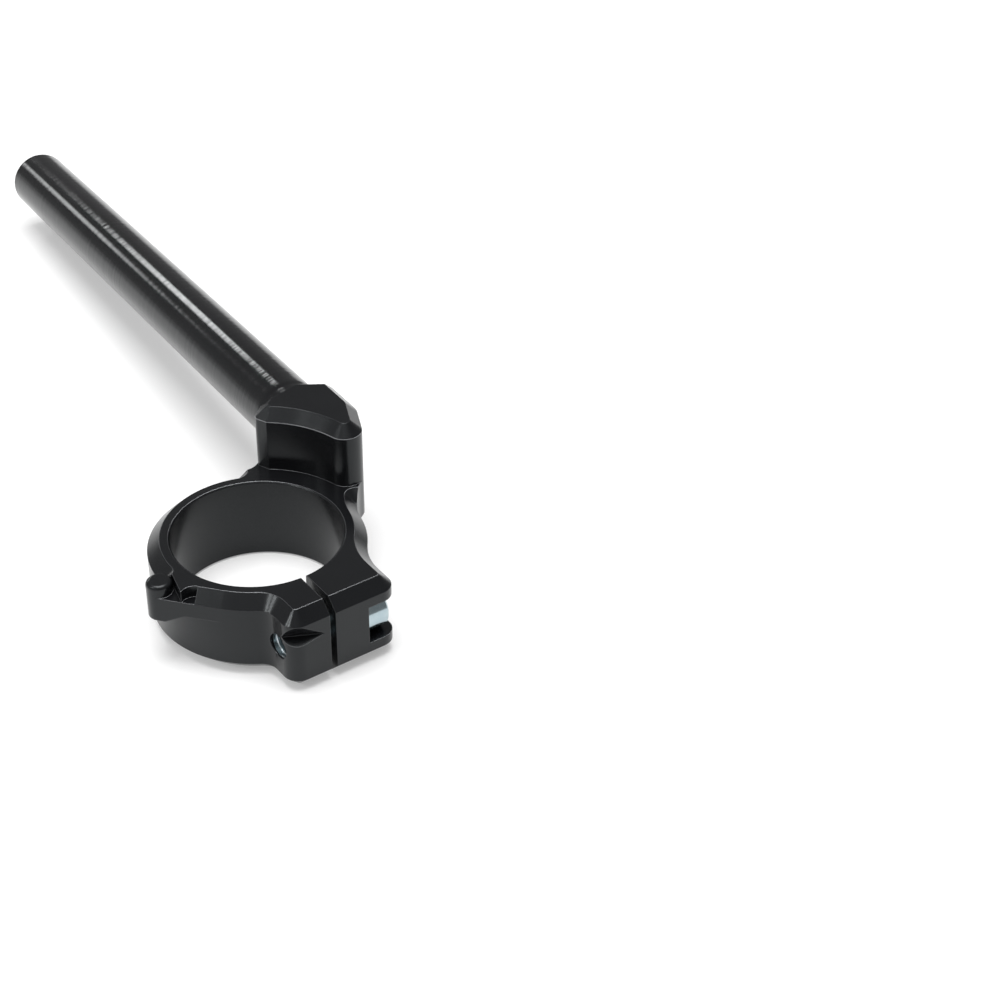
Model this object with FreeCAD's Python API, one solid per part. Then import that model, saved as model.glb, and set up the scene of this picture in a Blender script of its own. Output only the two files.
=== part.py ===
import FreeCAD, Part
import os
from math import acos, atan2, cos, degrees, hypot, pi, radians, sin, sqrt, tan

V = FreeCAD.Vector

# Frame: Z is the fork tube's axis, Z = 0 the clamp's mid height, millimetres.
# The clamp's ears and its split face -Y, the handlebar leaves toward +Y.

# Clamp ring
FORK_DIA = 53.0
CLAMP_H = 28.0
RING_R = 33.5
EDGE_BEVEL = 3.9
BORE_BEVEL = 0.5
SPLIT_GAP = 2.0

# Ears either side of the split
EAR_FRONT = 42.8
SEAT_EAR = 22.8
THREAD_EAR = 14.5
EAR_CORNER = 5.0
SEAT_FILLET = 20.0
THREAD_FILLET = 6.0

# Clamp bolt, M8 socket head cap screw
BOLT_DIA = 8.0
BOLT_PITCH = 1.25
BOLT_LEN = 24.0
BOLT_Y = -35.3
HEAD_DIA = 13.0
HEAD_H = 8.0
HEAD_BEVEL = 0.6
HEX_FLATS = 6.0
HEX_DEEP = 4.0
TIP_BEVEL = 0.7
THREAD_LEN = 17.0
THREAD_DEPTH = 0.61
SEAT_X = 12.4
HEAD_CLEAR = 0.25
SHANK_CLEAR = 0.35
THREAD_CLEAR = 0.02

# V notch across the threaded ear's corner
NOTCH_Z = 4.5
NOTCH_SIDE_Y = -37.0
NOTCH_FRONT_X = -2.9
NOTCH_DEEP = 8.0
NOTCH_RISE_DEG = 58.0
NOTCH_FALL_DEG = 25.0

# Locating post on the ring's outer side
POST_DEG = 186.0
POST_OUT = 2.4
POST_R = 4.0
POST_BASE = 1.8
POST_ROUND = 1.4
POST_GAP = 0.35
RELIEF_TILT = 12.6
WEB_STOP = 8.2
WEB_SINK = 2.0
WEB_BASE = 4.95
WEB_FOOT = 2.6
WEB_SLOPE_DEG = 27.0
RELIEF_LEAD = 1.2
RELIEF_LEN = 14.0

# Riser block, its corners as X, Y and corner radius
BLOCK_TOP = 35.4
BLOCK_BEVEL = 3.7
BLOCK_SCOOP_R = 33.7
BLOCK_NOSE_R = 5.5
BLOCK_FLANK_DEG = 66.0
BLOCK_SIDE = (47.5, 17.0, 8.0)
BLOCK_REAR_SIDE = (48.0, 32.6, 1.5)
BLOCK_REAR = (36.8, 39.7, 2.0)
BLOCK_REAR_LEFT = (24.3, 36.5, 8.0)
BLOCK_TIP = (18.4, 31.4, 2.0)
BLOCK_TIP_SCOOP_DEG = 53.0
SCOOP_BEVEL_STOP_DEG = 65.0
FLARE_R = 19.5
TIP_FLARE_R = 6.0
BEVEL_STOP_DEG = 71.5
FLARE_STOP_DEG = 146.0
LOBE_BASE = 0.5

# Handlebar
BAR_DIA = 22.22
BAR_BORE = 15.0
BAR_AXIS_X = 35.25
BAR_AXIS_Y = 30.0
BAR_AXIS_Z = 22.9
BAR_SWEEP = 5.2
BAR_DROP = 4.44
BAR_LEN = 245.5
BAR_BORE_DEEP = 215.0
BORE_TIP_DEG = 31.0
BAR_BEVEL = 1.2
BAR_SEAT_DIA = 21.8
BAR_SEAT_LEN = 9.3
BAR_SEAT_TAPER = 2.0
SPIGOT_DIA = 12.0
SPIGOT_LEN = 8.0
SPIGOT_BEVEL = 0.6
SPIGOT_END_GAP = 0.5
BAR_SEAT_CLEAR = 0.02

# Values that follow from the ones above
FORK_R = FORK_DIA / 2
BOLT_R = BOLT_DIA / 2
BAR_R = BAR_DIA / 2
TOP = CLAMP_H / 2
BEVEL_Z = TOP - EDGE_BEVEL
BLOCK_CORNERS = [BLOCK_SIDE, BLOCK_REAR_SIDE, BLOCK_REAR, BLOCK_REAR_LEFT]

# How far cutting shapes run past the surfaces they cut
SLACK = 0.6
FAR = 60.0


def at(angle_deg, radius, centre=(0.0, 0.0)):
    """Point on a circle, angle in degrees from +X."""
    a = radians(angle_deg)
    return (centre[0] + radius * cos(a), centre[1] + radius * sin(a))


def bearing(p, q):
    """Direction from p to q in degrees."""
    return degrees(atan2(q[1] - p[1], q[0] - p[0]))


def line(p, q):
    return ("line", p, q)


def arc(centre, radius, start, end):
    """Arc that turns left when end is above start, right when below."""
    return ("arc", centre, radius, start, end)


def edge_of(seg):
    if seg[0] == "line":
        return Part.makeLine(V(*seg[1], 0), V(*seg[2], 0))
    centre, radius, start, end = seg[1:]
    stops = [at(a, radius, centre) for a in (start, (start + end) / 2, end)]
    return Part.Arc(*[V(x, y, 0) for x, y in stops]).toShape()


def prism(segs, low, high):
    """Upright solid on a closed outline of lines and arcs."""
    wire = Part.Wire([edge_of(s) for s in segs])
    solid = Part.Face(wire).extrude(V(0, 0, high - low))
    solid.translate(V(0, 0, low))
    return solid


def turned(half):
    """Solid of revolution about Z from radius and height pairs."""
    pts = [V(x, 0, z) for x, z in half]
    return Part.Face(Part.makePolygon(pts + pts[:1])).revolve(V(0, 0, 0), V(0, 0, 1), 360)


def polygon(points):
    return [line(p, q) for p, q in zip(points, points[1:] + points[:1])]


def rounded(points):
    """Segments through corner points, each rounded by its own radius."""
    segs = []
    last = None
    for i in range(1, len(points) - 1):
        a, p, b = points[i - 1][:2], points[i][:2], points[i + 1][:2]
        radius = points[i][2]
        heading, leaving = bearing(a, p), bearing(p, b)
        turn = (leaving - heading + 180) % 360 - 180
        back = radius * tan(radians(abs(turn)) / 2)
        side = 90 if turn > 0 else -90
        begin = at(heading + 180, back, p)
        centre = at(heading + side, radius, begin)
        segs.append(line(last or a, begin))
        segs.append(arc(centre, radius, heading - side, heading - side + turn))
        last = at(leaving, back, p)
    segs.append(line(last, points[-1][:2]))
    return segs


def bevel_line(seg, top, size):
    """Wedge that takes a 45 degree edge off a straight side."""
    start, stop = seg[1], seg[2]
    way = bearing(start, stop)
    length = hypot(stop[0] - start[0], stop[1] - start[1])
    over = size + SLACK
    pts = [V(0, 0, -size), V(0, SLACK, -size), V(0, SLACK, SLACK), V(0, -over, SLACK)]
    wedge = Part.Face(Part.makePolygon(pts + pts[:1])).extrude(V(length, 0, 0))
    wedge = wedge.mirror(V(0, 0, 0), V(0, 1, 0))
    wedge.rotate(V(0, 0, 0), V(0, 0, 1), way)
    wedge.translate(V(start[0], start[1], top))
    return wedge


def bevel_arc(seg, top, size):
    """Ring piece that takes a 45 degree edge off a curved side."""
    centre, radius, start, end = seg[1:]
    out = 1 if end > start else -1
    over = size + SLACK
    pts = [(radius, -size), (radius + out * SLACK, -size)]
    pts += [(radius + out * SLACK, SLACK), (radius - out * over, SLACK)]
    pts = [V(max(x, 0), 0, z) for x, z in pts]
    face = Part.Face(Part.makePolygon(pts + pts[:1]))
    solid = face.revolve(V(0, 0, 0), V(0, 0, 1), abs(end - start))
    solid.rotate(V(0, 0, 0), V(0, 0, 1), min(start, end))
    solid.translate(V(centre[0], centre[1], top))
    return solid


def bevel_end(point, top, size):
    """Cone that the edge bevel runs out in."""
    cone = Part.makeCone(0, size + SLACK, size + SLACK)
    cone.translate(V(point[0], point[1], top - size))
    return cone


def bevels(segs, top, size):
    return [bevel_line(s, top, size) if s[0] == "line" else bevel_arc(s, top, size) for s in segs]


def upside_down(solids):
    """The same cuts for the clamp's underside."""
    return [s.mirror(V(0, 0, 0), V(0, 0, 1)) for s in solids]


def ear_blend(side_x, radius):
    """Centre of the hollow corner between an ear's side and the ring."""
    x = side_x + radius if side_x > 0 else side_x - radius
    return (x, -sqrt((RING_R + radius) ** 2 - x ** 2))


def front_outline(from_deg, to_deg):
    """Outer wall from the ring's left side round both ears to its right side."""
    left = ear_blend(-THREAD_EAR, THREAD_FILLET)
    right = ear_blend(SEAT_EAR, SEAT_FILLET)
    left_deg = bearing((0, 0), left)
    right_deg = bearing((0, 0), right)
    low = -EAR_FRONT + EAR_CORNER
    corner_l = (-THREAD_EAR + EAR_CORNER, low)
    corner_r = (SEAT_EAR - EAR_CORNER, low)
    return [
        arc((0, 0), RING_R, from_deg, left_deg),
        arc(left, THREAD_FILLET, left_deg + 180, 0),
        line((-THREAD_EAR, left[1]), (-THREAD_EAR, low)),
        arc(corner_l, EAR_CORNER, 180, 270),
        line((corner_l[0], -EAR_FRONT), (corner_r[0], -EAR_FRONT)),
        arc(corner_r, EAR_CORNER, -90, 0),
        line((SEAT_EAR, low), (SEAT_EAR, right[1])),
        arc(right, SEAT_FILLET, 180, right_deg + 180),
        arc((0, 0), RING_R, right_deg, to_deg),
    ]


def snug_centre(ring, radius, point, way):
    """Centre of a curve that touches a ring's outside and a line's left side."""
    across = at(way + 90, 1.0)
    off = point[0] * across[0] + point[1] * across[1] + radius
    ahead = at(way, sqrt((ring + radius) ** 2 - off ** 2))
    return (off * across[0] + ahead[0], off * across[1] + ahead[1])


def nose_centre():
    """Centre of the block's round nose, between its scoop and its flank."""
    return snug_centre(BLOCK_SCOOP_R, BLOCK_NOSE_R, BLOCK_SIDE, BLOCK_FLANK_DEG)


def nose(start_deg):
    return arc(nose_centre(), BLOCK_NOSE_R, start_deg, BLOCK_FLANK_DEG + 270)


def nose_end():
    """Where the nose passes into the straight flank."""
    return at(BLOCK_FLANK_DEG - 90, BLOCK_NOSE_R, nose_centre())


def flare_start():
    """Ring angle where the flare begins, so that it runs smoothly into the nose."""
    reach = BLOCK_SCOOP_R + BLOCK_NOSE_R
    ring, gap = RING_R + FLARE_R, FLARE_R + BLOCK_NOSE_R
    swing = degrees(acos((reach ** 2 + ring ** 2 - gap ** 2) / (2 * reach * ring)))
    return bearing((0, 0), nose_centre()) - swing


def flare_centre():
    return at(flare_start(), RING_R + FLARE_R)


def flare(end_deg):
    """Hollow curve that leads the ring's wall out to the block."""
    return arc(flare_centre(), FLARE_R, flare_start() + 180, end_deg)


def tip_flare():
    """Hollow curve between the ring and the block's far side."""
    way = bearing(BLOCK_TIP, BLOCK_REAR_LEFT)
    centre = snug_centre(RING_R, TIP_FLARE_R, BLOCK_TIP, way)
    return arc(centre, TIP_FLARE_R, way - 90, bearing((0, 0), centre) - 180)


def block_walls(end):
    """Riser block's outer walls, shared by the block and the clamp below it."""
    return rounded([nose_end()] + BLOCK_CORNERS + [end])


def clamp_outline():
    """Full outer wall of the clamp, without the locating post."""
    meet_deg = bearing(flare_centre(), nose_centre())
    lead = [flare(meet_deg), nose(meet_deg + 180)]
    tail = tip_flare()
    tail_start = at(tail[3], TIP_FLARE_R, tail[1])
    ring_deg = bearing((0, 0), tail[1])
    ring = front_outline(ring_deg - 360, flare_start())
    return ring + lead + block_walls(tail_start) + [tail]


def post_centre():
    return at(POST_DEG, RING_R + POST_OUT)


def web_tangent():
    """Ring angle of the straight web that runs from the ring to the post."""
    return POST_DEG - 360 + degrees(acos((RING_R - POST_R) / (RING_R + POST_OUT)))


def post_corner():
    """Where the post's far side meets the ring's wall."""
    reach = RING_R + POST_OUT
    swing = degrees(acos((reach ** 2 + RING_R ** 2 - POST_R ** 2) / (2 * reach * RING_R)))
    return POST_DEG - swing


def web():
    """Straight-sided web from the ring to the post, thinner at its ring end."""
    way = web_tangent()
    on_ring = at(way, RING_R)
    on_post = at(way, POST_R, post_centre())
    inside = at(way, RING_R - WEB_SINK)
    back = at(post_corner(), RING_R - WEB_SINK)
    pts = [on_ring, inside, back, post_centre(), on_post]
    return prism(polygon(pts), POST_BASE, TOP).cut(web_underside(way, on_ring, on_post))


def web_underside(way, on_ring, on_post):
    """Room below the web, level at the ring and sloping down to the post's foot."""
    slope = tan(radians(WEB_SLOPE_DEG))
    foot = hypot(on_post[0] - on_ring[0], on_post[1] - on_ring[1]) - WEB_FOOT
    head = foot - (WEB_BASE - POST_BASE) / slope
    low = POST_BASE - SLACK
    side = [(foot + SLACK / slope, low), (head, WEB_BASE), (-FAR, WEB_BASE), (-FAR, low)]
    pts = [V(x, -FAR, z) for x, z in side]
    room = Part.Face(Part.makePolygon(pts + pts[:1])).extrude(V(0, FAR + FAR, 0))
    room.rotate(V(0, 0, 0), V(0, 0, 1), way - 90)
    room.translate(V(*on_ring, 0))
    return room


def post():
    body = Part.makeCylinder(POST_R, TOP - POST_BASE, V(*post_centre(), POST_BASE))
    rim = [e for e in body.Edges if e.Closed and e.Vertexes[0].Z > TOP - 0.01]
    return body.makeFillet(POST_ROUND, rim)


def post_relief():
    """Milled step that leaves the post standing clear of the ring's top."""
    way = 270 - RELIEF_TILT
    near = at(way + 90, POST_R + POST_GAP, post_centre())
    start = at(way + 180, RELIEF_LEAD, near)
    stop = at(way, RELIEF_LEN, near)
    off = [at(way - 90, RELIEF_LEN, p) for p in (stop, start)]
    return prism(polygon([start, stop] + off), BEVEL_Z, TOP + SLACK)


def web_stop():
    """Where the front bevel ends on the web's wall."""
    way = web_tangent()
    return at(way - 90, WEB_STOP, at(way, RING_R))


def web_pocket():
    """Flat-floored round end of the front bevel, beside the tongue that runs out to the post."""
    half = Part.makeCylinder(EDGE_BEVEL, EDGE_BEVEL + SLACK, V(0, 0, 0), V(0, 0, 1), 180)
    half.rotate(V(0, 0, 0), V(0, 0, 1), web_tangent() + 180)
    half.translate(V(*web_stop(), BEVEL_Z))
    return half


def top_bevels():
    """45 degree edge round the clamp's top, stopped at post and block."""
    way = web_tangent()
    on_ring = at(way, RING_R)
    stop = web_stop()
    front = front_outline(way, flare_start()) + [flare(FLARE_STOP_DEG)]
    back = [arc((0, 0), RING_R, BEVEL_STOP_DEG, post_corner())]
    cuts = bevels([line(stop, on_ring)] + front + back, TOP, EDGE_BEVEL)
    ends = [at(post_corner(), RING_R), at(BEVEL_STOP_DEG, RING_R)]
    ends.append(at(FLARE_STOP_DEG, FLARE_R, flare_centre()))
    return cuts + [bevel_end(p, TOP, EDGE_BEVEL) for p in ends]


def bottom_bevels():
    """45 degree edge all round the clamp's underside."""
    return upside_down(bevels(front_outline(BEVEL_STOP_DEG - 360, BEVEL_STOP_DEG), TOP, EDGE_BEVEL))


def lobe_relief():
    """Underside of the lobe below the block, which stands out from the ring's upper half."""
    far_deg = bearing((0, 0), tip_flare()[1])
    reach = FAR + FAR
    side, far = at(flare_start(), reach), at(far_deg, reach)
    sector = prism(polygon([(0.0, 0.0), side, (reach, reach), far]), -TOP - SLACK, LOBE_BASE)
    return sector.cut(Part.makeCylinder(RING_R, 3 * CLAMP_H, V(0, 0, -CLAMP_H)))


def block_outline():
    """Block's walls from the rounded nose round the far side to the scoop."""
    nose_deg = bearing((0, 0), nose_centre())
    scoop_far = at(BLOCK_TIP_SCOOP_DEG, BLOCK_SCOOP_R)
    walls = rounded([nose_end()] + BLOCK_CORNERS + [BLOCK_TIP, scoop_far])
    scoop = arc((0, 0), BLOCK_SCOOP_R, BLOCK_TIP_SCOOP_DEG, nose_deg)
    return [nose(nose_deg + 180)] + walls + [scoop]


def block():
    """Riser block with its bevelled top and the scoop that clears the fork yoke."""
    segs = block_outline()
    solid = prism(segs, TOP, BLOCK_TOP)
    for cut in block_bevels(segs):
        solid = solid.cut(cut)
    return solid


def block_bevels(segs):
    """45 degree edge round the block's top; tight corners are left as mitres."""
    scoop = segs[-1]
    inner = arc(scoop[1], scoop[2], SCOOP_BEVEL_STOP_DEG, scoop[4])
    cuts = bevels([inner], BLOCK_TOP, BLOCK_BEVEL)
    for before, seg, after in zip(segs[-1:] + segs[:-2], segs[:-1], segs[1:]):
        if seg[0] == "line":
            tight = [is_tight(s) for s in (before, after)]
            longer = stretched(seg, *[BLOCK_BEVEL if t else 0.0 for t in tight])
            cuts += bevels([longer], BLOCK_TOP, BLOCK_BEVEL)
        elif not is_tight(seg):
            cuts += bevels([seg], BLOCK_TOP, BLOCK_BEVEL)
    return cuts


def is_tight(seg):
    """A corner the bevel cannot follow: smaller than it, or the scoop's sharp end."""
    return seg[0] == "arc" and (seg[2] < BLOCK_BEVEL or seg[4] < seg[3])


def stretched(seg, at_start, at_end):
    p, q = seg[1], seg[2]
    way = bearing(p, q)
    return line(at(way + 180, at_start, p), at(way, at_end, q))


def bar_placement():
    """Handlebar's own frame: Z runs out along the bar from its seat in the block."""
    turn = FreeCAD.Rotation(V(0, 0, 1), -BAR_SWEEP)
    tilt = FreeCAD.Rotation(V(1, 0, 0), -90 - BAR_DROP)
    return FreeCAD.Placement(V(BAR_AXIS_X, BAR_AXIS_Y, BAR_AXIS_Z), turn.multiply(tilt))


def bar_socket():
    """Blind seat that follows the bar's turned-down end and taper, with a hole for its spigot."""
    deep = SPIGOT_LEN + SPIGOT_END_GAP
    hole = SPIGOT_DIA / 2 + BAR_SEAT_CLEAR
    seat = BAR_SEAT_DIA / 2 + BAR_SEAT_CLEAR
    bar = BAR_R + BAR_SEAT_CLEAR
    half = [(0, -deep), (hole, -deep), (hole, 0), (seat, 0), (seat, BAR_SEAT_LEN)]
    half += [(bar, BAR_SEAT_LEN + BAR_SEAT_TAPER), (bar, BAR_LEN), (0, BAR_LEN)]
    room = turned(half)
    room.Placement = bar_placement()
    return room


def handlebar():
    """Straight tube whose solid inner end is turned down to a seat and a spigot."""
    r, b, s = BAR_R, BAR_BORE / 2, SPIGOT_DIA / 2
    seat, end = BAR_SEAT_DIA / 2, BAR_LEN
    half = [(0, -SPIGOT_LEN), (s - SPIGOT_BEVEL, -SPIGOT_LEN), (s, SPIGOT_BEVEL - SPIGOT_LEN)]
    half += [(s, 0), (seat, 0), (seat, BAR_SEAT_LEN), (r, BAR_SEAT_LEN + BAR_SEAT_TAPER)]
    half += [(r, end - BAR_BEVEL), (r - BAR_BEVEL, end)]
    half += [(b + BAR_BEVEL, end), (b, end - BAR_BEVEL), (b, end - BAR_BORE_DEEP)]
    half += [(0, end - BAR_BORE_DEEP - b * tan(radians(BORE_TIP_DEG)))]
    solid = turned(half)
    solid.Placement = bar_placement()
    return solid


def bolt_hole():
    """Clearance through the seat ear, thread size through the other."""
    loose = Part.makeCylinder(BOLT_R + SHANK_CLEAR, FAR, V(0, BOLT_Y, 0), V(1, 0, 0))
    snug = Part.makeCylinder(BOLT_R + THREAD_CLEAR, FAR, V(0, BOLT_Y, 0), V(-1, 0, 0))
    return [loose, snug]


def head_slot():
    """Open pocket in the seat ear that the bolt head drops into from the front."""
    half = HEAD_DIA / 2 + HEAD_CLEAR
    round_end = Part.makeCylinder(half, FAR, V(SEAT_X, BOLT_Y, 0), V(1, 0, 0))
    mouth = Part.makeBox(FAR, FAR, 2 * half, V(SEAT_X, BOLT_Y - FAR, -half))
    return round_end.fuse(mouth)


def corner_notch():
    """V cut straight across the threaded ear's front corner, steeper above its root."""
    p = (-THREAD_EAR, NOTCH_SIDE_Y)
    q = (NOTCH_FRONT_X, -EAR_FRONT)
    way = bearing(p, q)
    start = at(way + 180, NOTCH_DEEP, p)
    length = hypot(q[0] - p[0], q[1] - p[1]) + 2 * NOTCH_DEEP
    rise = NOTCH_DEEP * tan(radians(NOTCH_RISE_DEG))
    fall = NOTCH_DEEP * tan(radians(NOTCH_FALL_DEG))
    pts = [V(0, 0, 0), V(0, -NOTCH_DEEP, rise), V(0, -NOTCH_DEEP, -fall)]
    wedge = Part.Face(Part.makePolygon(pts + pts[:1])).extrude(V(length, 0, 0))
    wedge.rotate(V(0, 0, 0), V(0, 0, 1), way)
    wedge.translate(V(start[0], start[1], NOTCH_Z))
    return wedge


def fork_bore():
    bore = Part.makeCylinder(FORK_R, 3 * CLAMP_H, V(0, 0, -CLAMP_H))
    wide = FORK_R + BORE_BEVEL + SLACK
    tall = BORE_BEVEL + SLACK
    top = Part.makeCone(FORK_R, wide, tall, V(0, 0, TOP - BORE_BEVEL))
    low = Part.makeCone(wide, FORK_R, tall, V(0, 0, -TOP - SLACK))
    return [bore, top, low]


def split_cut():
    return Part.makeBox(SPLIT_GAP, FAR, 3 * CLAMP_H, V(-SPLIT_GAP / 2, -FAR, -CLAMP_H))


def clamp():
    """Clamp ring, ears, locating post and riser block, machined from one billet."""
    solid = prism(clamp_outline(), -TOP, TOP).fuse(web())
    for cut in [lobe_relief(), web_pocket(), post_relief()] + top_bevels() + bottom_bevels():
        solid = solid.cut(cut)
    solid = solid.fuse(post()).fuse(block())
    cuts = fork_bore() + [split_cut(), head_slot(), corner_notch(), bar_socket()]
    for cut in cuts + bolt_hole():
        solid = solid.cut(cut)
    return solid.removeSplitter()


def thread_profile(start, end):
    """Crest and root points of the bolt's thread, from the shank to its tip."""
    root = BOLT_R - THREAD_DEPTH * BOLT_PITCH
    turns = int((end - start) / BOLT_PITCH)
    pts = []
    for i in range(turns):
        z = end - (turns - i) * BOLT_PITCH
        pts += [(BOLT_R, z + BOLT_PITCH / 8), (root, z + BOLT_PITCH * 9 / 16), (BOLT_R, z + BOLT_PITCH)]
    return pts


def hex_socket():
    across = HEX_FLATS / 2 / cos(pi / 6)
    ring = [V(*at(60 * i, across), -HEAD_H - SLACK) for i in range(6)]
    return Part.Face(Part.makePolygon(ring + ring[:1])).extrude(V(0, 0, HEX_DEEP + SLACK))


def bolt():
    """Socket head cap screw, head in the seat ear and thread in the other."""
    h, r = HEAD_DIA / 2, BOLT_R
    half = [(0, -HEAD_H), (h - HEAD_BEVEL, -HEAD_H), (h, HEAD_BEVEL - HEAD_H), (h, 0), (r, 0)]
    half += thread_profile(BOLT_LEN - THREAD_LEN, BOLT_LEN - TIP_BEVEL)
    half += [(r - TIP_BEVEL, BOLT_LEN), (0, BOLT_LEN)]
    solid = turned(half).cut(hex_socket())
    turn = FreeCAD.Rotation(V(0, 1, 0), -90)
    solid.Placement = FreeCAD.Placement(V(SEAT_X, BOLT_Y, 0), turn)
    return solid


def export(name, shape):
    if not shape.isValid() or len(shape.Solids) != 1:
        raise RuntimeError("%s: valid %s, solids %d" % (name, shape.isValid(), len(shape.Solids)))
    shape.Solids[0].exportStep("parts/%s.step" % name)


def main():
    os.makedirs("parts", exist_ok=True)
    export("clamp", clamp())
    export("handlebar", handlebar())
    export("clamp_bolt", bolt())


main()
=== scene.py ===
from math import cos, pi, radians, sin

import bpy
from bpy.props import FloatProperty, FloatVectorProperty, PointerProperty
from mathutils import Matrix, Vector


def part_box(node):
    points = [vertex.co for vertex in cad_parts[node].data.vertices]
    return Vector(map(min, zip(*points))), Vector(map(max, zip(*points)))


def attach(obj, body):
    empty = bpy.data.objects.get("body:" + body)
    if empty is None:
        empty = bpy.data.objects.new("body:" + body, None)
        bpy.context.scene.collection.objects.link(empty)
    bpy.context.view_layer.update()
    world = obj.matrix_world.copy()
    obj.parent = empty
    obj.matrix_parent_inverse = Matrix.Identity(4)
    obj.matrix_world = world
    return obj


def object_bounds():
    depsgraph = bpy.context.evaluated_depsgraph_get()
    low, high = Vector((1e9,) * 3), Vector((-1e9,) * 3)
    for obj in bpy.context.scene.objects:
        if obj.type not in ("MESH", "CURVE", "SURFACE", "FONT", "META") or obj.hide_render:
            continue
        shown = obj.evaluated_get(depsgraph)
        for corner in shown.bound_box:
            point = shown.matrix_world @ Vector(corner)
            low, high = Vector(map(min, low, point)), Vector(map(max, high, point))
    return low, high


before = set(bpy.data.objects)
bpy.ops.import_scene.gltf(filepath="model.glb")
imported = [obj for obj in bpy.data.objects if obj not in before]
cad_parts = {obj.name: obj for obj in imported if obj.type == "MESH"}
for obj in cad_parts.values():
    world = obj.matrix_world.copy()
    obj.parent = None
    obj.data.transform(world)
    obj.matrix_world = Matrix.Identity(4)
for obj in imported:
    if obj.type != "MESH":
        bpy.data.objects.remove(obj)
cad_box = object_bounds()

bl_info = {
    "name": "Clip-on handlebar riser",
    "version": (1, 0, 0),
    "blender": (4, 5, 0),
    "location": "View3D > Sidebar > Riser",
    "description": "Finishes and studio for a fork clamp with a raised handlebar tube",
    "category": "Object",
}

MM = 0.001

# Places and sizes of the CAD part that the finishes and the thread follow
BOLT_AXIS = Vector((0.0, -35.3 * MM, 0.0))
BAR_SEAT = Vector((35.25 * MM, 30.0 * MM, 22.9 * MM))
BAR_SWEEP = radians(5.2)
BAR_DROP = radians(4.44)
BLOCK_FOOT = 20.0 * MM
HOLE_RADIUS = 4.02 * MM
HOLE_LIP = 0.6 * MM
EAR_SIDE = -14.5 * MM

# Gloss of both black finishes, with a cool cast
BLACK_GLOSS = {"Specular_IOR_Level": 0.33, "Specular_Tint": (0.93, 0.98, 1.0, 1.0)}

# Points in each turn of the thread's helix, and sides of its ridge
TURN_POINTS = 48
RIDGE_SIDES = 4

# Half the floor's width, its distance below the part, and the camera's sensor in millimetres
FLOOR_REACH = 4.0
FLOOR_GAP = 0.2 * MM
SENSOR_WIDTH = 36.0


class Sock:
    """A node's output, so that shader maths reads as plain arithmetic."""

    def __init__(self, finish, socket):
        self.finish = finish
        self.socket = socket

    def _math(self, operation, a, b):
        return self.finish.node("ShaderNodeMath", {"operation": operation}, {0: a, 1: b})

    def __add__(self, other):
        return self._math("ADD", self, other)

    def __radd__(self, other):
        return self._math("ADD", other, self)

    def __sub__(self, other):
        return self._math("SUBTRACT", self, other)

    def __rsub__(self, other):
        return self._math("SUBTRACT", other, self)

    def __mul__(self, other):
        return self._math("MULTIPLY", self, other)

    def __rmul__(self, other):
        return self._math("MULTIPLY", other, self)


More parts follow.
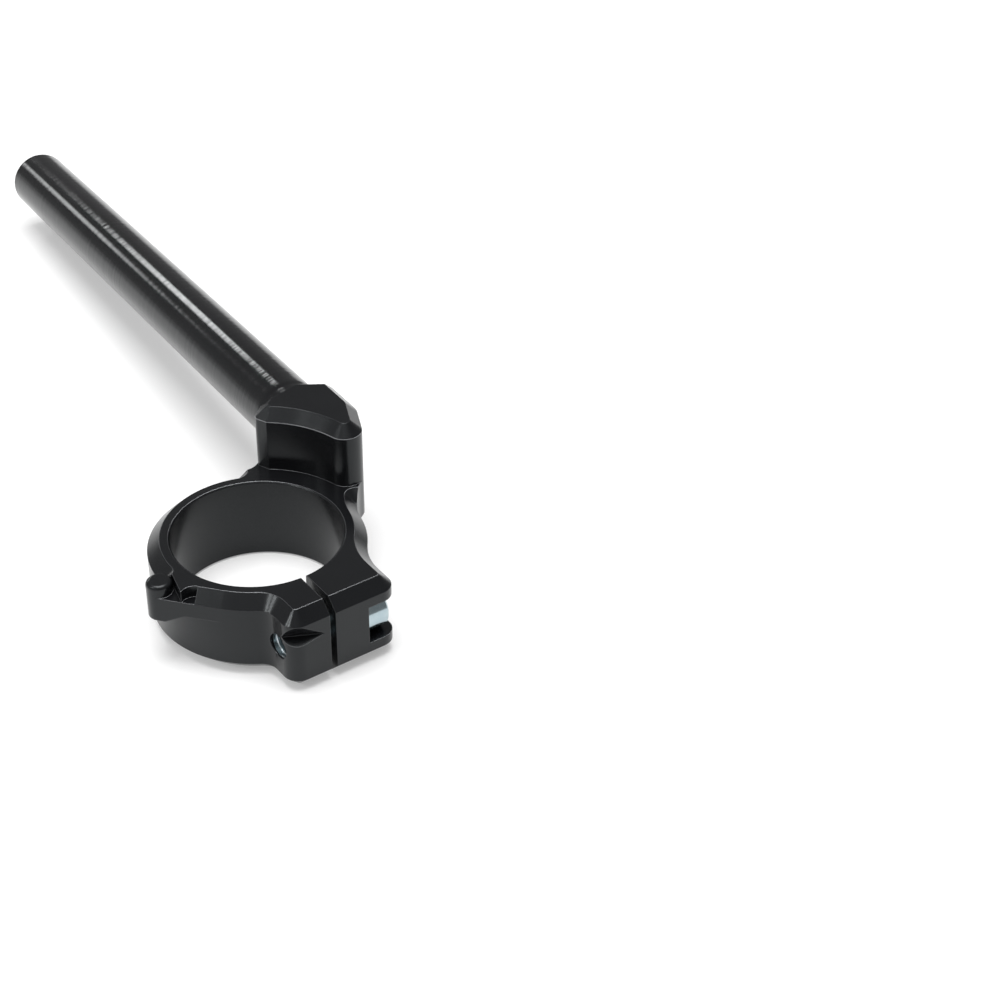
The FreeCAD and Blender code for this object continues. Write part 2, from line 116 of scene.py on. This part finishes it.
class Finish:
    """Node tree of one material or of the studio's surroundings."""

    def __init__(self, owner, end_kind):
        owner.use_nodes = True
        self.owner = owner
        self.tree = owner.node_tree
        self.tree.nodes.clear()
        self.end = self.tree.nodes.new(end_kind)

    def node(self, kind, settings=None, inputs=None, out=0):
        """Adds a node: first its settings, then the values or links of its sockets."""
        made = self.tree.nodes.new(kind)
        for key, value in (settings or {}).items():
            if key == "stops":
                self._stops(made.color_ramp, value)
            else:
                setattr(made, key, value)
        for key, value in (inputs or {}).items():
            if isinstance(value, Sock):
                self.tree.links.new(value.socket, made.inputs[key])
            else:
                made.inputs[key].default_value = value
        return Sock(self, made.outputs[out])

    def _stops(self, ramp, stops):
        """Sets the place and the grey of each stop."""
        while len(ramp.elements) < len(stops):
            ramp.elements.new(0.5)
        for element, (place, grey) in zip(ramp.elements, stops):
            element.position = place
            element.color = (grey, grey, grey, 1.0)

    def ramp(self, value, stops):
        """Grey that the stops give for a value."""
        return self.node("ShaderNodeValToRGB", {"stops": stops}, {"Fac": value})

    def rise(self, value, low, high):
        """0 up to low, 1 from high on, and an even rise between them."""
        return self.ramp(value, [(low, 0.0), (high, 1.0)])

    def blend(self, factor, a, b):
        """Colour between a and b, by the sockets that the Mix node keeps for colours."""
        return self.node("ShaderNodeMix", {"data_type": "RGBA"}, {0: factor, 6: a, 7: b}, out=2)

    def part(self, vector, axis):
        """X, Y or Z of a vector."""
        return self.node("ShaderNodeSeparateXYZ", inputs={0: vector}, out=axis)

    def dot(self, a, b):
        """How far a reaches along b."""
        return self.node("ShaderNodeVectorMath", {"operation": "DOT_PRODUCT"}, {0: a, 1: b}, out="Value")

    def place(self, location=(0, 0, 0), rotation=(0, 0, 0), scale=(1, 1, 1)):
        """Object coordinates, moved and turned to suit a pattern."""
        coords = self.node("ShaderNodeTexCoord", out="Object")
        where = {"Vector": coords, "Location": location, "Rotation": rotation, "Scale": scale}
        return self.node("ShaderNodeMapping", {"vector_type": "POINT"}, where)

    def noise(self, vector, scale, detail, roughness=0.55):
        """Noise between 0 and 1."""
        sizes = {"Vector": vector, "Scale": scale, "Detail": detail, "Roughness": roughness}
        return self.node("ShaderNodeTexNoise", inputs=sizes)

    def edges(self, radius, low, high):
        """Rounded normal and a mask that is 1 along the edges."""
        soft = self.node("ShaderNodeBevel", {"samples": 6}, {"Radius": radius})
        flat = self.node("ShaderNodeNewGeometry", out="Normal")
        return soft, self.rise(1.0 - self.dot(soft, flat), low, high)

    def bump(self, height, strength, distance, normal):
        """Normal that follows a height."""
        sizes = {"Height": height, "Strength": strength, "Distance": distance, "Normal": normal}
        return self.node("ShaderNodeBump", inputs=sizes)

    def surface(self, **sockets):
        """Ends the tree in one shader. A socket's name has _ for each space."""
        named = {key.replace("_", " "): value for key, value in sockets.items()}
        shader = self.node("ShaderNodeBsdfPrincipled", inputs=named)
        self.tree.links.new(shader.socket, self.end.inputs["Surface"])
        return self.owner


def new_finish(name):
    """Empty material."""
    return Finish(bpy.data.materials.new(name), "ShaderNodeOutputMaterial")


def rgba(colour):
    """Opaque colour."""
    return (*colour, 1.0)


def swing(noise, amount):
    """Noise moved to lie either side of 0."""
    return (noise - 0.5) * amount


def clouded(f, cloud, look):
    """Black with deeper clouds."""
    return f.blend(f.rise(cloud, 0.35, 0.7), rgba(look.shade), rgba(look.colour))


def clamp_edge_highlight(f, soft):
    """Painted highlight mask, 1 where an edge of the clamp is bright: round the low tops that face up and to
    the front, and under the block's bevel.
    """
    up = f.part(soft, "Z")
    front = f.part(soft, "Y") * -1.0
    rim = f.rise(up, 0.72, 0.84) * f.ramp(front, [(0.24, 0.08), (0.35, 1.0)])
    brow = f.ramp(up, [(0.15, 0.0), (0.3, 1.0), (0.5, 1.0), (0.68, 0.0)])
    # The block's foot is at 0.5 on this ramp
    block = f.rise(f.part(f.place(), "Z") * (0.5 / BLOCK_FOOT), 0.45, 0.55)
    return block * brow + (1.0 - block) * rim


def tapped_hole(f):
    """1 on the wall of the threaded ear's hole, where the cut metal is bare."""
    around = f.place(location=-BOLT_AXIS, scale=(0.0, 1.0, 1.0))
    away = f.node("ShaderNodeVectorMath", {"operation": "LENGTH"}, {0: around}, out="Value")
    # The hole's own radius is at 0.5 on this ramp
    wall = f.ramp(away * (0.5 / HOLE_RADIUS), [(0.507, 1.0), (0.517, 0.0)])
    deep = f.part(f.place(), "X") - (EAR_SIDE + HOLE_LIP)
    return wall * f.rise(deep * (1.0 / MM), 0.0, 0.1)


def anodised_black(look):
    """Black anodised billet: satin grain, faint cutter lines, lightly worn edges with a painted highlight on
    the brightest ones.
    """
    f = new_finish("anodised_black")
    here = f.place()
    cloud = f.noise(here, scale=45.0, detail=4.0)
    grain = f.noise(here, scale=2600.0, detail=2.0)
    cutter = f.noise(f.place(scale=(0.04, 0.04, 1.0)), scale=2400.0, detail=3.0)
    soft, edge = f.edges(look.edge_radius, low=0.012, high=0.07)
    bare = tapped_hole(f)
    # Painted highlight: edges that face up and to the front, and those under the block's bevel, take the pale
    # edge colour on top of their light wear.
    wear_and_highlight = edge * (look.edge_wear + clamp_edge_highlight(f, soft) * look.rim_highlight)
    black = f.blend(wear_and_highlight, clouded(f, cloud, look), rgba(look.edge_colour))
    colour = f.blend(bare, black, rgba(look.bare_colour))
    rough = look.roughness + swing(cloud, 0.08) + swing(grain, 0.06) - edge * 0.06
    normal = f.bump(grain * 0.6 + cutter * 0.4, strength=0.05, distance=0.02 * MM, normal=soft)
    return f.surface(Base_Color=colour, Roughness=rough, Metallic=bare, Normal=normal, **BLACK_GLOSS)


def turned_black(look):
    """Glossy black tube with the fine rings of its last cut."""
    f = new_finish("turned_black")
    upright = Matrix.Rotation(radians(90) + BAR_DROP, 3, "X") @ Matrix.Rotation(BAR_SWEEP, 3, "Z")
    along = f.place(rotation=upright.to_euler())
    stretch = {0: along, 1: (0.02, 0.02, 1.0)}
    round_tube = f.node("ShaderNodeVectorMath", {"operation": "MULTIPLY"}, stretch)
    rings = f.noise(round_tube, scale=900.0, detail=1.0, roughness=0.5)
    cloud = f.noise(f.place(), scale=30.0, detail=3.0)
    soft, edge = f.edges(look.edge_radius, low=0.02, high=0.2)
    colour = f.blend(edge * look.edge_wear, clouded(f, cloud, look), rgba(look.edge_colour))
    rough = look.roughness + swing(rings, 0.10) + swing(cloud, 0.05)
    normal = f.bump(rings, look.ring_strength, look.ring_depth, soft)
    return f.surface(Base_Color=colour, Roughness=rough, Normal=normal, **BLACK_GLOSS)


def bright_metal(name, look):
    """Bright metal with a cool cast and small handling marks."""
    f = new_finish(name)
    cloud = f.noise(f.place(), scale=260.0, detail=4.0)
    marks = f.noise(f.place(scale=(1.0, 0.15, 0.15)), scale=3000.0, detail=3.0)
    soft, edge = f.edges(look.edge_radius, low=0.02, high=0.2)
    colour = f.blend(f.rise(cloud, 0.3, 0.7), rgba(look.colour), rgba(look.shade))
    rough = look.roughness + swing(cloud, 0.12) + swing(marks, 0.08) - edge * 0.05
    normal = f.bump(marks, strength=0.12, distance=0.02 * MM, normal=soft)
    return f.surface(Base_Color=colour, Roughness=rough, Normal=normal, Metallic=1.0)


def pale_paper(look):
    """Pale sheet that glows a little, so that shadows stay faint, with painted shade that makes it greyer far
    to the left.
    """
    f = new_finish("pale_paper")
    here = f.place()
    cloud = f.noise(here, scale=3.0, detail=2.0)
    dimmer = [c * 0.985 for c in look.floor]
    near = f.blend(cloud, rgba(look.floor), rgba(dimmer))
    left = (-cos(look.turn), sin(look.turn), 0.0)
    # Painted shade: the floor turns greyer far to the left, as if less light fell there.
    far = f.rise(f.dot(here, left), 0.19, 0.45)
    colour = f.blend(far, near, rgba(look.floor_far))
    return f.surface(
        Base_Color=colour, Roughness=0.9, Specular_IOR_Level=0.1,
        Emission_Color=colour, Emission_Strength=look.floor_glow)


def dress(node, material):
    """Gives a CAD node its finish."""
    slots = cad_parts[node].data.materials
    slots.clear()
    slots.append(material)


def colour_prop(name, description, default):
    """Colour of a finish."""
    return FloatVectorProperty(
        name=name, description=description, default=default, subtype="COLOR", min=0.0, max=1.0)


def length_prop(name, description, default):
    """Length in metres."""
    return FloatProperty(
        name=name, description=description, default=default, unit="LENGTH", precision=5)


def factor_prop(name, description, default):
    """Share from 0 to 1."""
    return FloatProperty(
        name=name, description=description, default=default, min=0.0, max=1.0, subtype="FACTOR")


def angle_prop(name, description, default):
    """Angle in radians."""
    return FloatProperty(name=name, description=description, default=default, subtype="ANGLE")


class ClampLook(bpy.types.PropertyGroup):
    """Finish of the machined clamp and block."""

    colour: colour_prop("Colour", "Black of the anodised surface", (0.0066, 0.0069, 0.0078))
    shade: colour_prop("Shade", "Deeper black in the finish's clouds", (0.0048, 0.0050, 0.0058))
    # The edge colour serves both the light wear of all edges and the painted highlight on the brightest ones.
    edge_colour: colour_prop("Edge colour", "Colour of the worn edges and of their painted highlight", (0.80, 0.82, 0.85))
    edge_wear: factor_prop("Edge wear", "How far all edges take their own colour", 0.03)
    # Painted highlight: share of the pale edge colour on the edges that face up and to the front.
    rim_highlight: factor_prop("Rim highlight", "Painted highlight on the brightest edges", 0.75)
    bare_colour: colour_prop("Bare colour", "Cut metal in the tapped hole", (0.55, 0.60, 0.62))
    edge_radius: length_prop("Edge radius", "Roundness of the broken edges", 0.35 * MM)
    roughness: factor_prop("Roughness", "Mean roughness of the satin finish", 0.22)


class BarLook(bpy.types.PropertyGroup):
    """Finish of the handlebar tube."""

    colour: colour_prop("Colour", "Black of the tube", (0.0066, 0.0067, 0.0074))
    shade: colour_prop("Shade", "Deeper black in the finish's clouds", (0.0048, 0.0049, 0.0054))
    edge_colour: colour_prop("Edge colour", "Colour of the tube's broken ends", (0.10, 0.10, 0.105))
    edge_wear: factor_prop("Edge wear", "How far the ends take their own colour", 0.4)
    edge_radius: length_prop("Edge radius", "Roundness of the tube's ends", 0.4 * MM)
    roughness: factor_prop("Roughness", "Mean roughness of the glossy tube", 0.14)
    ring_strength: factor_prop("Ring strength", "How strongly the turned rings show", 0.45)
    ring_depth: length_prop("Ring depth", "Height of the turned rings", 0.10 * MM)


class BoltLook(bpy.types.PropertyGroup):
    """Finish of the clamp bolt."""

    colour: colour_prop("Colour", "Bright zinc", (0.44, 0.52, 0.545))
    shade: colour_prop("Shade", "Bluer patches of the plating", (0.37, 0.46, 0.50))
    edge_radius: length_prop("Edge radius", "Roundness of the bolt's edges", 0.15 * MM)
    roughness: factor_prop("Roughness", "Mean roughness of the plating", 0.16)


class ThreadLook(bpy.types.PropertyGroup):
    """Size and finish of the thread in the ear's hole."""

    colour: colour_prop("Colour", "Cut metal", (0.58, 0.62, 0.64))
    shade: colour_prop("Shade", "Greyer patches of the cut metal", (0.46, 0.50, 0.53))
    edge_radius: length_prop("Edge radius", "Roundness of the thread's crest", 0.06 * MM)
    roughness: factor_prop("Roughness", "Mean roughness of the cut metal", 0.22)
    pitch: length_prop("Pitch", "Distance from one turn to the next", 1.25 * MM)
    ridge: length_prop("Ridge", "Half the width of the thread's ridge", 0.45 * MM)


class StageLook(bpy.types.PropertyGroup):
    """Floor, surroundings and camera."""

    floor: colour_prop("Floor", "Pale floor", (0.70, 0.70, 0.70))
    # Painted shade: grey of the floor far to the left.
    floor_far: colour_prop("Far floor", "Floor far to the left of the picture", (0.40, 0.40, 0.40))
    floor_glow: factor_prop("Floor glow", "Light of the floor itself", 0.43)
    surround: FloatProperty(
        name="Surround", description="Brightness of the surroundings", default=1.2, min=0.0)
    camera: FloatVectorProperty(
        name="Camera", description="Camera position", default=(-0.22972, -0.43016, 0.37326),
        subtype="TRANSLATION")
    turn: angle_prop("Turn", "Camera turn from +Y toward +X", radians(36.8))
    pitch: angle_prop("Pitch", "Camera tilt below level", radians(35.64))
    roll: angle_prop("Roll", "Camera roll", 0.018)
    lens: FloatProperty(
        name="Lens", description="Focal length in millimetres", default=71.1, subtype="DISTANCE_CAMERA")


class RISER_OT_clamp(bpy.types.Operator):
    """Finish the machined clamp and riser block"""

    bl_idname = "riser.clamp"
    bl_label = "Clamp"

    def execute(self, context):
        dress("clamp", anodised_black(context.scene.riser_clamp))
        return {"FINISHED"}


class RISER_OT_bar(bpy.types.Operator):
    """Finish the handlebar tube"""

    bl_idname = "riser.bar"
    bl_label = "Handlebar"

    def execute(self, context):
        dress("handlebar", turned_black(context.scene.riser_bar))
        return {"FINISHED"}


class RISER_OT_bolt(bpy.types.Operator):
    """Finish the clamp bolt"""

    bl_idname = "riser.bolt"
    bl_label = "Clamp bolt"

    def execute(self, context):
        dress("clamp_bolt", bright_metal("bright_zinc", context.scene.riser_bolt))
        return {"FINISHED"}


def thread_tree(material):
    """Ridge wound in a helix along Z, then turned to lie along the bolt's axis."""
    tree = bpy.data.node_groups.new("ear_thread", "GeometryNodeTree")
    socket = tree.interface.new_socket
    socket("Geometry", in_out="OUTPUT", socket_type="NodeSocketGeometry")
    names = ("Turns", "Radius", "Length", "Ridge")
    ids = {name: socket(name, in_out="INPUT", socket_type="NodeSocketFloat").identifier for name in names}
    ids["Place"] = socket("Place", in_out="INPUT", socket_type="NodeSocketVector").identifier
    given = tree.nodes.new("NodeGroupInput").outputs
    last = tree.nodes.new("NodeGroupOutput")

    def add(kind, links, values=None):
        made = tree.nodes.new(kind)
        for key, source in links.items():
            tree.links.new(source, made.inputs[key])
        for key, value in (values or {}).items():
            made.inputs[key].default_value = value
        return made

    wound = {"Rotations": given["Turns"], "Start Radius": given["Radius"], "End Radius": given["Radius"]}
    helix = add("GeometryNodeCurveSpiral", {**wound, "Height": given["Length"]}, {"Resolution": TURN_POINTS})
    level = add("GeometryNodeSetCurveNormal", {"Curve": helix.outputs["Curve"]})
    level.mode = "Z_UP"
    section = add("GeometryNodeCurvePrimitiveCircle", {"Radius": given["Ridge"]}, {"Resolution": RIDGE_SIDES})
    swept = {"Curve": level.outputs["Curve"], "Profile Curve": section.outputs["Curve"]}
    ridge = add("GeometryNodeCurveToMesh", swept, {"Fill Caps": True})
    laid = {"Geometry": ridge.outputs["Mesh"], "Translation": given["Place"]}
    moved = add("GeometryNodeTransform", laid, {"Rotation": (0.0, pi / 2, 0.0)})
    real = add("GeometryNodeRealizeInstances", {"Geometry": moved.outputs["Geometry"]})
    done = add("GeometryNodeSetMaterial", {"Geometry": real.outputs["Geometry"]}, {"Material": material})
    tree.links.new(done.outputs["Geometry"], last.inputs["Geometry"])
    return tree, ids


def ear_thread(look, material):
    """Open turns of the thread, from the ear's side to the bolt's tip, as one plain mesh."""
    start = EAR_SIDE + HOLE_LIP + look.ridge
    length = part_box("clamp_bolt")[0].x - look.ridge - start
    tree, ids = thread_tree(material)
    piece = bpy.data.objects.new("ear_thread", bpy.data.meshes.new("ear_thread"))
    bpy.context.scene.collection.objects.link(piece)
    nodes = piece.modifiers.new("thread", "NODES")
    nodes.node_group = tree
    nodes[ids["Turns"]] = length / look.pitch
    nodes[ids["Radius"]] = HOLE_RADIUS
    nodes[ids["Length"]] = length
    nodes[ids["Ridge"]] = look.ridge
    nodes[ids["Place"]] = (start, BOLT_AXIS.y, BOLT_AXIS.z)
    evaluated = piece.evaluated_get(bpy.context.evaluated_depsgraph_get())
    mesh = bpy.data.meshes.new_from_object(evaluated)
    piece.modifiers.clear()
    piece.data = mesh
    mesh.name = "ear_thread"
    return piece


class RISER_OT_thread(bpy.types.Operator):
    """Cut the thread that shows in the ear's open hole"""

    bl_idname = "riser.thread"
    bl_label = "Thread"

    def execute(self, context):
        look = context.scene.riser_thread
        thread = ear_thread(look, bright_metal("cut_metal", look))
        if not thread.data.polygons:
            raise RuntimeError("the thread has no faces")
        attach(thread, "root")
        return {"FINISHED"}


def floor(look):
    """Level sheet just below the part."""
    height = cad_box[0].z - FLOOR_GAP
    signs = ((-1, -1), (1, -1), (1, 1), (-1, 1))
    corners = [(x * FLOOR_REACH, y * FLOOR_REACH, height) for x, y in signs]
    mesh = bpy.data.meshes.new("floor")
    mesh.from_pydata(corners, [], [(0, 1, 2, 3)])
    mesh.materials.append(pale_paper(look))
    made = bpy.data.objects.new("floor", mesh)
    bpy.context.scene.collection.objects.link(made)


def surroundings(look):
    """Bright below the horizon, dark walls above it and a pale ceiling."""
    world = bpy.data.worlds.new("studio")
    f = Finish(world, "ShaderNodeOutputWorld")
    way = f.node("ShaderNodeTexCoord", out="Generated")
    left = f.ramp(f.part(way, "X") * -1.0, [(0.3, 0.0), (0.9, 0.25)])
    room = [(0.0, 0.8), (0.49, 0.8), (0.52, 0.22), (0.88, 0.22), (0.95, 1.0)]
    # The horizon is at 0.5 on this ramp
    tone = left + f.ramp(f.part(way, "Z") * 0.5 + 0.5, room)
    sky = f.node("ShaderNodeBackground", inputs={"Color": tone, "Strength": look.surround})
    f.tree.links.new(sky.socket, f.end.inputs["Surface"])
    bpy.context.scene.world = world


def soft_light(name, target, turn, height, size, glow, distance=1.5):
    """Rectangular soft light of a given brightness, turned to face the target."""
    turn, height = radians(turn), radians(height)
    away = Vector((cos(height) * cos(turn), cos(height) * sin(turn), sin(height)))
    data = bpy.data.lights.new(name, "AREA")
    data.shape = "RECTANGLE"
    data.size, data.size_y = size
    data.energy = glow * pi * size[0] * size[1]
    lamp = bpy.data.objects.new(name, data)
    lamp.location = target + away * distance
    lamp.rotation_euler = away.to_track_quat("Z", "Y").to_euler()
    lamp.visible_camera = False
    bpy.context.scene.collection.objects.link(lamp)


def studio_lights():
    """Ceiling light, two strips along the bar and two glints on the clamp's bevels."""
    ring = Vector((0.0, 0.0, 0.0))
    bar = BAR_SEAT + Vector((10.0 * MM, 110.0 * MM, -10.0 * MM))
    soft_light("ceiling", ring, turn=90, height=89, size=(1.2, 1.2), glow=6.0, distance=1.8)
    soft_light("bar_far_strip", bar, turn=100.6, height=18.2, size=(0.19, 0.16), glow=5.5)
    soft_light("bar_near_strip", bar, turn=80.8, height=28.6, size=(0.27, 0.16), glow=11.0)
    soft_light("rear_glint", ring, turn=166.5, height=38, size=(0.14, 0.14), glow=22.0)
    soft_light("side_glint", ring, turn=182.5, height=43.3, size=(0.14, 0.14), glow=24.0)


def camera(look):
    """Camera placed and turned to the photograph's view."""
    c, s = cos(look.pitch), sin(look.pitch)
    right = Vector((cos(look.turn), -sin(look.turn), 0.0))
    ahead = Vector((c * sin(look.turn), c * cos(look.turn), -s))
    upward = Vector((s * sin(look.turn), s * cos(look.turn), c))
    across = right * cos(look.roll) + upward * sin(look.roll)
    over = upward * cos(look.roll) - right * sin(look.roll)
    data = bpy.data.cameras.new("camera")
    data.sensor_width = SENSOR_WIDTH
    data.lens = look.lens
    data.clip_start = 10.0 * MM
    data.clip_end = 20.0
    made = bpy.data.objects.new("camera", data)
    turn = Matrix((across, over, -ahead)).transposed()
    made.matrix_world = Matrix.Translation(look.camera) @ turn.to_4x4()
    bpy.context.scene.collection.objects.link(made)
    bpy.context.scene.camera = made


class RISER_OT_stage(bpy.types.Operator):
    """Set the floor, the lights and the camera"""

    bl_idname = "riser.stage"
    bl_label = "Stage"

    def execute(self, context):
        look = context.scene.riser_stage
        floor(look)
        surroundings(look)
        studio_lights()
        camera(look)
        context.scene.view_settings.view_transform = "Standard"
        return {"FINISHED"}


class RISER_PT_panel(bpy.types.Panel):
    """Lists the riser's pieces"""

    bl_idname = "RISER_PT_panel"
    bl_label = "Handlebar riser"
    bl_space_type = "VIEW_3D"
    bl_region_type = "UI"
    bl_category = "Riser"

    def draw(self, context):
        for operator in OPERATORS:
            self.layout.operator(operator.bl_idname)


LOOKS = {
    "riser_clamp": ClampLook, "riser_bar": BarLook, "riser_bolt": BoltLook,
    "riser_thread": ThreadLook, "riser_stage": StageLook}
OPERATORS = (RISER_OT_clamp, RISER_OT_bar, RISER_OT_bolt, RISER_OT_thread, RISER_OT_stage)
CLASSES = (*LOOKS.values(), *OPERATORS, RISER_PT_panel)


def register():
    """Adds the classes, and one set of looks for each operator."""
    for cls in CLASSES:
        bpy.utils.register_class(cls)
    for name, look in LOOKS.items():
        setattr(bpy.types.Scene, name, PointerProperty(type=look))


def unregister():
    """Takes away what register added."""
    for name in LOOKS:
        delattr(bpy.types.Scene, name)
    for cls in reversed(CLASSES):
        bpy.utils.unregister_class(cls)


def main():
    """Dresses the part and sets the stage."""
    register()
    bpy.ops.riser.clamp()
    bpy.ops.riser.bar()
    bpy.ops.riser.bolt()
    bpy.ops.riser.thread()
    bpy.ops.riser.stage()


if __name__ == "__main__":
    main()
